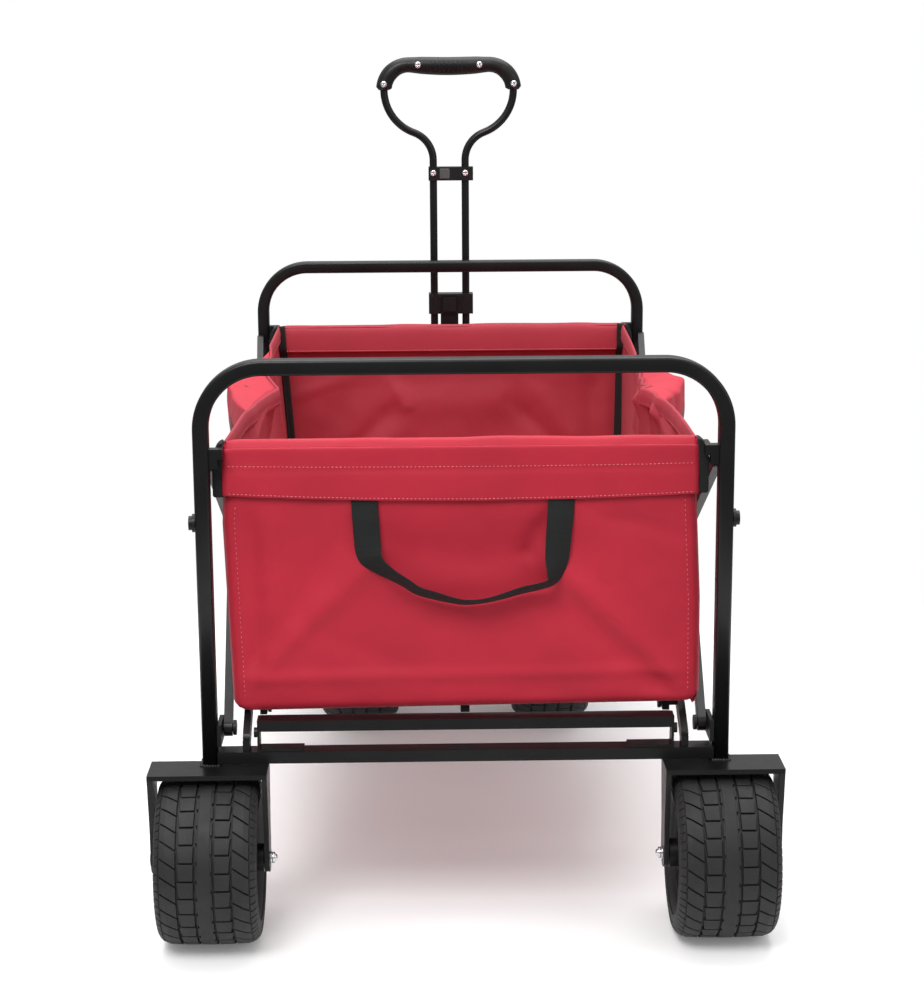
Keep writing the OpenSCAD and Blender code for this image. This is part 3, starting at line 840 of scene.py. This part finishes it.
def end_wall(label, wall, outward, body):
    folds = [((-outward * a[0], a[1]), (-outward * b[0], b[1]), w, h) for a, b, w, h in END_FOLDS]
    slot = "red_fabric" if outward < 0 else "red_lining"

    def on_panel(u, v):
        return end_wall_point(u, v, wall, outward, folds, 3.7 + outward)

    panel = cloth("cloth_wall_" + label, on_panel, (120, 80), body, slot)
    sleeve = cloth("cloth_hem_" + label, lambda u, v: hem_point(u, v, wall, outward), (90, 48), body,
        slot, 1.1)
    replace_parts(panel, "end_wall_" + label)
    for k, (share, side) in enumerate(((0.055, outward), (0.245, outward), (0.955, -outward))):
        def line(t, share=share, side=side):
            x, y, z = hem_point(0.01 + 0.98 * t, share, wall, outward)
            return x, y + 0.55 * side, z
        edge_stitches("stitches_%s_%d" % (label, k), line, body, (0, side, 0))
    for sign in (-1, 1):
        def side_line(t, sign=sign):
            top = WALL_TOP[outward]
            z = WALL_LOW + 14 + (top - HEM_FACE - 22 - WALL_LOW) * t
            half = wall_half(outward, z)
            u = 0.5 + sign * 0.5 * (half - 12) / half
            v = ((z - WALL_LOW) / (top - 6 - WALL_LOW)) ** 0.8
            x, y, z = on_panel(u, v)
            return x, y + 0.5 * outward, z
        name = "stitches_%s_side%d" % (label, sign)
        edge_stitches(name, side_line, body, (0, outward, 0), 5)


# the same for the side walls, and how far the rim stands in and hangs down along each of them
SIDE_FOLDS = {
    1: [((390, 505), (449, 461), 26, -10), ((449, 461), (466, 380), 26, -10),
        ((350, 505), (277, 477), 22, -8), ((277, 477), (201, 455), 22, -8),
        ((494, 463), (590, 405), 26, -8), ((325, 505), (330, 430), 12, -7)],
    -1: [((487, 477), (287, 451), 28, -9), ((619, 471), (701, 374), 30, -9),
        ((470, 505), (462, 430), 14, -6)],
}
RIM_INSET = {
    1: [(16, 0), (214, -1), (250, 3), (324, 10), (400, 7), (560, 2), (856, 0)],
    -1: [(16, 0), (218, 2), (330, 4), (462, 9), (516, 5), (661, 0), (856, 0)],
}
RIM_SAG = {
    1: [(16, 0), (214, 4), (324, 2), (400, 10), (520, 20), (661, 10), (856, 0)],
    -1: [(16, 0), (218, 8), (340, 16), (462, 23), (516, 16), (661, 0), (856, 0)],
}


def along_table(table, y):
    for (y0, a), (y1, b) in zip(table, table[1:]):
        if y <= y1:
            return a + (b - a) * max(0.0, y - y0) / (y1 - y0)
    return table[-1][1]


def soft_table(table, y):
    """The table's value, averaged over a few centimetres so that its corners are soft."""
    return sum(along_table(table, y + d) for d in (-12, -6, 0, 6, 12)) / 5


def side_point(u, v, sign):
    """A point of a side wall; v goes from the bottom edge to the rim, which folds over at the top."""
    y = REAR + SIDE_END + SIDE_LENGTH * u
    along = y - REAR
    share = (along - SIDE_END) / SIDE_LENGTH
    rim = (1 - share) * WALL_TOP[-1] + share * WALL_TOP[1] - 1 - soft_table(RIM_SAG[sign], along)
    turn = max(0.0, v - RIM_SHARE) / (1 - RIM_SHARE)
    z = WALL_LOW + 1 + (rim - WALL_LOW - 1) * min(1.0, v / RIM_SHARE) ** 1.1
    rear_half, rear_shift = outline_at(-1, z)
    front_half, front_shift = outline_at(1, z)
    half = (rear_half + sign * rear_shift) * (1 - share) + (front_half + sign * front_shift) * share
    fold = sum(crease(along, z, *p, 0.5) for p in SIDE_FOLDS[sign])
    fold += 1.5 * noise.noise(Vector((along * 0.009, z * 0.012, 11 * sign)))
    fold -= soft_table(RIM_INSET[sign], along) * max(0.0, (z - WALL_LOW) / (rim - WALL_LOW)) ** 2
    quiet = min(1, u / 0.05) * min(1, (1 - u) / 0.05) * min(1, (z - WALL_LOW) / 25)
    half -= 10 * math.sin(math.pi * share) * max(0.0, 1 - (z - WALL_LOW) / 240)
    x = min(231.5, half - 2.2 + min(0.8, fold * quiet))
    foot = max(0.0, WALL_LOW + 10 - z) / 10
    x -= 8 * (1 - math.sqrt(max(0.0, 1 - foot * foot)))
    if turn > 0:
        x -= 2.6 * math.sin(math.pi * min(1, turn * 1.4) / 1.4) + 0.8 * turn
        z = rim - 22 * max(0.0, turn - 0.12) + 1.2 * math.sin(math.pi * min(1, turn * 4))
    return sign * x, y, z


def side_wall(label, sign):
    panel = cloth("cloth_side_" + label, lambda u, v: side_point(u, v, sign), (200, 90), "rear_frame",
        "red_lining")

    def line(t):
        x, y, z = side_point(0.02 + 0.96 * t, 0.985, sign)
        return x - sign * 0.6, y, z

    row = edge_stitches("stitches_side_" + label, line, "rear_frame", (-sign, 0, 0), 5)
    row.data.materials[0] = LOOKS["red_lining"]
    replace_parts(panel, "side_wall_" + label)
    gather([panel, row])


def gather(objs):
    """Gives each piece its own copy of its mesh."""
    for obj in objs:
        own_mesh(obj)


def joint_pouch(label, sign):
    """The cloth cap sewn to the rim over the middle joint of the side bars."""
    def point(u, v):
        along = (u - 0.5) * 2
        y = MID + along * 195 + 10
        width = max(0.0, math.cos(math.pi / 2 * abs(along) ** 1.3))
        share = (y - REAR - SIDE_END) / SIDE_LENGTH
        rim_x, _, rim_z = side_point(share, RIM_SHARE, sign)
        start = abs(rim_x) + 1.2
        tent = math.exp(-((y - MID) / 34) ** 2)
        reach = max(0.0, 257 - start) * width + 7 * tent
        rise = (484 - rim_z) * width
        if v < 0.5:
            t = v * 2
            x = start + reach * math.sin(math.pi / 2 * t)
            z = rim_z - 1 + rise * t + 4 * math.sin(math.pi * t) * width + 4 * tent * t
        else:
            t = v * 2 - 1
            x = start + reach + 1.5 * math.sin(math.pi * t) * width - 2 * t * width
            z = rim_z - 1 + rise - (12 + 42 * width) * t + 4 * tent * (1 - t)
        rough = 1.2 * noise.noise(Vector((y * 0.03, z * 0.04, sign * 3.0)))
        return sign * (x + rough * min(1, v * 3)), y, z

    made = cloth("cloth_pouch_" + label, point, (78, 24), "rear_frame")
    gather([made])


def corner_pads(label, wall, outward, body):
    """Black webbing caps on the ends of the hem sleeve."""
    top = WALL_TOP[outward]
    half, shift = outline_at(outward, top - 20)
    made = []
    for sign in (-1, 1):
        inner = half + sign * shift - 0.8
        outer = min(243.6, inner + 11)
        outline = [(inner, top - 55), (inner, top - 1), (inner + 3, top - 1.5), (outer - 4, top - 5),
                   (outer - 1.2, top - 11), (outer, top - 20), (outer, top - 53), (outer - 1, top - 55)]
        ys = sorted((wall + outward * 4, wall - outward * 17.5))
        name = "pad_%s_%s" % (label, "left" if sign < 0 else "right")
        pad = prism(name, mirrored(outline, sign), *ys, "black_webbing", body)
        add_flat_uv(pad)
        bevel(pad, 1.8, 3, 30)
        made.append(pad)
    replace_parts(made[0], "corner_pads_" + label)


def add_flat_uv(obj):
    """Flat coordinates in metres from X plus Y and Z, for the weave of a small part."""
    mesh = obj.data
    layer = mesh.uv_layers.new(name="flat")
    for loop in mesh.loops:
        co = mesh.vertices[loop.vertex_index].co
        layer.data[loop.index].uv = (co.x + co.y, co.z)


def carry_strap():
    """A flat webbing loop through (x, z, seen width) places; the rest of its width turns towards -Y."""
    stations = [(-97, 445, 26), (-96.5, 430, 26), (-95, 405, 26), (-93, 388, 25), (-86, 379, 20),
        (-73, 370, 15.5), (-58, 361, 13.5), (-46, 353, 13), (-32, 348.5, 13), (-16, 344, 11.5),
        (0, 341, 10.5), (20, 342.5, 10), (38, 347, 11), (56, 352.5, 12), (74, 356.5, 12), (85, 361, 13),
        (88.5, 371, 19), (90, 384, 24), (92, 410, 25.5), (94, 432, 26), (94.5, 446, 26)]
    path = smooth_path(stations, 7)
    width, thick = 26, 1.5
    frames = []
    for i, (x, z, seen) in enumerate(path):
        behind, _, ahead, _ = four_around(path, i)
        run = Vector((ahead[0] - behind[0], 0, ahead[1] - behind[1])).normalized()
        across = Vector((run.z, 0, -run.x)) * -1
        lean = math.acos(max(7.0, min(width - 0.01, seen)) / width)
        side = across * math.cos(lean) + Vector((0, -1, 0)) * math.sin(lean)
        up = run.cross(side)
        depth = width * math.sin(lean) / 2
        tuck = max(0.0, min(1.0, (z - 422) / 14))
        place = Vector((x, REAR_WALL - 5 - depth + 2.6 * tuck, z))
        frames.append((place, side, up))
    shape = rounded_rectangle(width / 2, thick / 2, 0.7, 2)
    strap = sweep("webbing_carry_strap", frames, lambda t: shape, "black_webbing", "rear_frame")
    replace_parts(strap, "carry_strap")


def corner_tape():
    """Dark tape over the inside corner seams of the front wall."""
    for label, sign in (("left", -1), ("right", 1)):
        def point(u, v, sign=sign):
            top = WALL_TOP[1]
            z = WALL_LOW + 5 + (top + 1 - WALL_LOW - 5) * v
            half, shift = outline_at(1, z)
            x = half + sign * shift - 3.6 - 9 + 9 * u
            past = max(0.0, min(1.0, (z - (top - HEM_INSIDE - 4)) / 6))
            y = FRONT_WALL - 4.6 - 13.2 * past - 1.2 * math.sin(math.pi * u)
            if u > 0.65:
                y -= 9 * (u - 0.65)
            return sign * x, y, z
        tape = cloth("tape_" + label, point, (8, 60), "front_frame", "black_webbing", 1.2)
        if sign < 0:
            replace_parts(tape, "corner_webbing")


def floor_pad(name, node_name, body):
    """A thin quilted floor panel in the place of one board, a little larger than the board."""
    low, high = (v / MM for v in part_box(node_name))
    low.x, high.x = low.x - 7, high.x + 7
    low.y, high.y = low.y - 3.6, high.y + 3.6
    nx, ny = 64, max(16, int((high.y - low.y) / 6))
    rise, quilts = 2.2, 3

    def height(u, v):
        edge = min(1.0, min(u, 1 - u) * 24) * min(1.0, min(v, 1 - v) * (high.y - low.y) / 12)
        puff = abs(math.sin(math.pi * quilts * u)) ** 0.5
        lift = 0.3 * noise.noise(Vector((u * 7, v * (high.y - low.y) * 0.02, 3)))
        return (rise * (0.35 + 0.65 * puff) + lift) * math.sqrt(max(0.0, edge))

    verts, uvs = [], []
    for top in (1, 0):
        for j in range(ny + 1):
            for i in range(nx + 1):
                u, v = i / nx, j / ny
                x, y = low.x + (high.x - low.x) * u, low.y + (high.y - low.y) * v
                verts.append((x, y, high.z - 1 + height(u, v) if top else low.z))
                uvs.append((x * MM, y * MM))
    size = (nx + 1) * (ny + 1)
    faces = patch_faces(nx, ny)
    faces += [(size + a, size + d, size + c, size + b) for a, b, c, d in faces] + skirt_faces(nx, ny)
    pad = piece(name, verts, faces, "floor_board", body, uvs)
    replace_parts(pad, node_name)


def build_basket():
    end_wall("rear", REAR_WALL, -1, "rear_frame")
    end_wall("front", FRONT_WALL, 1, "front_frame")
    for label, sign in (("left", -1), ("right", 1)):
        side_wall(label, sign)
        joint_pouch(label, sign)
    corner_pads("rear", REAR_WALL, -1, "rear_frame")
    corner_pads("front", FRONT_WALL, 1, "front_frame")
    corner_tape()
    carry_strap()
    floor_pad("floor_pad_rear", "floor_board_rear", "platform_rear")
    floor_pad("floor_pad_front", "floor_board_front", "platform_front")
    floor_pad("floor_pad_centre", "floor_board_centre", "centre_cross")


# ---- pull handle ----

def handle_grip():
    """Soft grip over the top of the loop: even round the corners and fuller under the middle."""
    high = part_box("grip")[1] / MM
    radius, corner, steps = 11, 33, 32
    top, reach = high.z - radius, high.x - radius
    left, right = arch(reach, top, corner, 16)
    span = reach - corner
    across = [(-span + 2 * span * s / steps, top, math.pi / 2) for s in range(1, steps)]
    frames = upright_frames(left + across + right, HANDLE_Y)

    def section(t):
        s = abs(2 * t - 1)
        bulge = 3.2 * max(0.0, 1 - (s / 0.5) ** 2) ** 1.2
        dip = 0.6 * math.exp(-(s / 0.25) ** 2)
        slim = 0.6 * max(0.0, 1 - ((s - 0.55) / 0.2) ** 2)
        mould = 1.0 - 0.35 * max(0.0, (s - 0.97) / 0.03)
        points = []
        for k in range(36):
            a = math.tau * k / 36
            inside = math.cos(a)
            r = (10.6 - slim) * mould
            side = r * inside + (bulge * inside if inside > 0 else dip * -inside)
            points.append((side, (r - 0.4) * math.sin(a)))
        return points

    grip = sweep("grip_cover", frames, section, "grip_rubber", "handle_slide")
    bevel(grip, 1.2, 2, 50)
    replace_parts(grip, "grip")
    ribs = []
    for k in range(9):
        x = -24 + 6 * k
        under = top - 10.6 - 3.2 * max(0.0, 1 - (abs(x) / 60) ** 2) ** 1.2
        ring = [(x - 1.1, 10.2), (x - 0.8, 10.9), (x, 11.1), (x + 0.8, 10.9), (x + 1.1, 10.2)]
        rib = lathe("grip_rib%d" % k, ring, (0, HANDLE_Y, top - 1.2), "grip_rubber", "handle_slide", 48)
        ribs.append(rib)
    merge("grip_ribs", ribs)


def build_handle():
    handle_grip()
    screws = []
    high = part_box("handle_screws")[1] / MM
    places = [(21.5, 696, 8), (41, high.z - 3.5, 10.2), (high.x - 3.5, 814, 10.4)]
    for sign in (-1, 1):
        for x, z, front in places:
            screws.append(domed_screw("screw", (sign * x, HANDLE_Y - front, z), 4.3, "handle_slide"))
    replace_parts(merge("handle_screw_heads", screws), "handle_screws")
    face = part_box("loop_brace")[0].y / MM
    tab = prism("brace_tab", [(-13, 688.5), (-13, 702), (0.5, 702), (0.5, 688.5)], face - 1.2, face + 2,
        "grey_tab", "handle_slide")
    bevel(tab, 0.8)
    low, high = (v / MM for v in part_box("lock_block"))
    ribs = []
    for k, (x, width) in enumerate(((-26, 3.0), (-15.5, 2.4), (11.5, 1.6), (15.5, 1.6))):
        outline = [(x, low.z + 2), (x, high.z - 2), (x + width, high.z - 2), (x + width, low.z + 2)]
        ribs.append(prism("rib%d" % k, outline, low.y - 1.4, low.y + 1, "black_plastic", "handle"))
    bevel(merge("lock_block_ribs", ribs, smooth=False), 0.5)


# ---- finishes of the carried-over frame ----

def finish_frame():
    slots = {part["node"]: part["material_slot"] for part in frame["record"]["subparts"]}
    for name, obj in nodes.items():
        obj.data.materials.clear()
        obj.data.materials.append(LOOKS[slots[name]])


# ---- floor, light and camera ----

def build_stage():
    """A pale floor that fades out into the white surroundings."""
    size = 6
    mesh = bpy.data.meshes.new("studio_floor")
    corners = [(-size, -size, 0), (size, -size, 0), (size, size, 0), (-size, size, 0)]
    mesh.from_pydata(corners, [], [(0, 1, 2, 3)])
    floor = bpy.data.objects.new("studio_floor", mesh)
    show(floor)
    mat, tree, shader = new_material("studio_white", (0.93, 0.93, 0.93), 0.9, Emission_Color=(1, 1, 1, 1),
        Emission_Strength=0.12)
    place = node(tree, "ShaderNodeTexCoord")
    distance = node(tree, "ShaderNodeVectorMath", operation="LENGTH")
    tree.links.new(place.outputs["Object"], distance.inputs[0])
    fade = node(tree, "ShaderNodeMapRange", interpolation_type="SMOOTHSTEP", From_Min=0.5, From_Max=1.15)
    tree.links.new(distance.outputs["Value"], fade.inputs["Value"])
    clear = node(tree, "ShaderNodeBsdfTransparent")
    mix_shaders(tree, fade.outputs["Result"], shader, clear, "Material Output")
    mesh.materials.append(mat)


def area_light(name, place, target, size, power):
    light = bpy.data.lights.new(name, "AREA")
    light.shape = "RECTANGLE"
    light.size, light.size_y = size
    light.energy = power
    obj = bpy.data.objects.new(name, light)
    obj.location = place
    obj.rotation_euler = (Vector(target) - Vector(place)).to_track_quat("-Z", "Y").to_euler()
    show(obj)


def build_light():
    """White surroundings that give more light from above than from the sides, and three soft lights."""
    world = bpy.data.worlds.new("studio")
    bpy.context.scene.world = world
    world.use_nodes = True
    tree = world.node_tree
    place = node(tree, "ShaderNodeTexCoord")
    parts = node(tree, "ShaderNodeSeparateXYZ")
    tree.links.new(place.outputs["Generated"], parts.inputs[0])
    height = node(tree, "ShaderNodeMapRange", From_Min=-0.1, From_Max=0.8, To_Min=0.3, To_Max=0.95)
    tree.links.new(parts.outputs["Z"], height.inputs["Value"])
    around = tree.nodes["Background"]
    around.inputs["Color"].default_value = (1, 1, 1, 1)
    tree.links.new(height.outputs["Result"], around.inputs["Strength"])
    seen = node(tree, "ShaderNodeBackground", Color=(1, 1, 1, 1), Strength=1.0)
    path = node(tree, "ShaderNodeLightPath")
    mix_shaders(tree, path.outputs["Is Camera Ray"], around, seen, "World Output")
    area_light("key", (-0.8, -2.3, 2.8), (0, -0.2, 0.4), (1.3, 1.3), 58)
    area_light("fill", (2.4, -1.8, 1.4), (0, 0, 0.35), (1.6, 1.6), 10)
    area_light("top", (0.1, 0.5, 2.6), (0, 0, 0.3), (2.2, 2.2), 56)


def build_camera():
    """The main view: from behind the wagon, a little left of its middle, looking down at it."""
    data = bpy.data.cameras.new("camera")
    data.sensor_fit = "AUTO"
    data.sensor_width = 36
    data.lens = 77.63
    data.clip_end = 100
    camera = bpy.data.objects.new("camera", data)
    camera.location = Vector((-41, REAR - 2034.3, 889.6)) * MM
    pitch, yaw, roll = (math.radians(a) for a in (12.4025, -1.0851, -0.3359))
    turn = Matrix.Rotation(yaw, 4, "Z") @ Matrix.Rotation(math.pi / 2 - pitch, 4, "X")
    camera.rotation_euler = (turn @ Matrix.Rotation(roll, 4, "Z")).to_euler()
    show(camera)
    bpy.context.scene.camera = camera


bpy.context.scene.view_settings.view_transform = "Standard"
build_camera()
build_stage()
build_light()
finish_frame()
build_frame()
build_wheels()
build_basket()
build_handle()
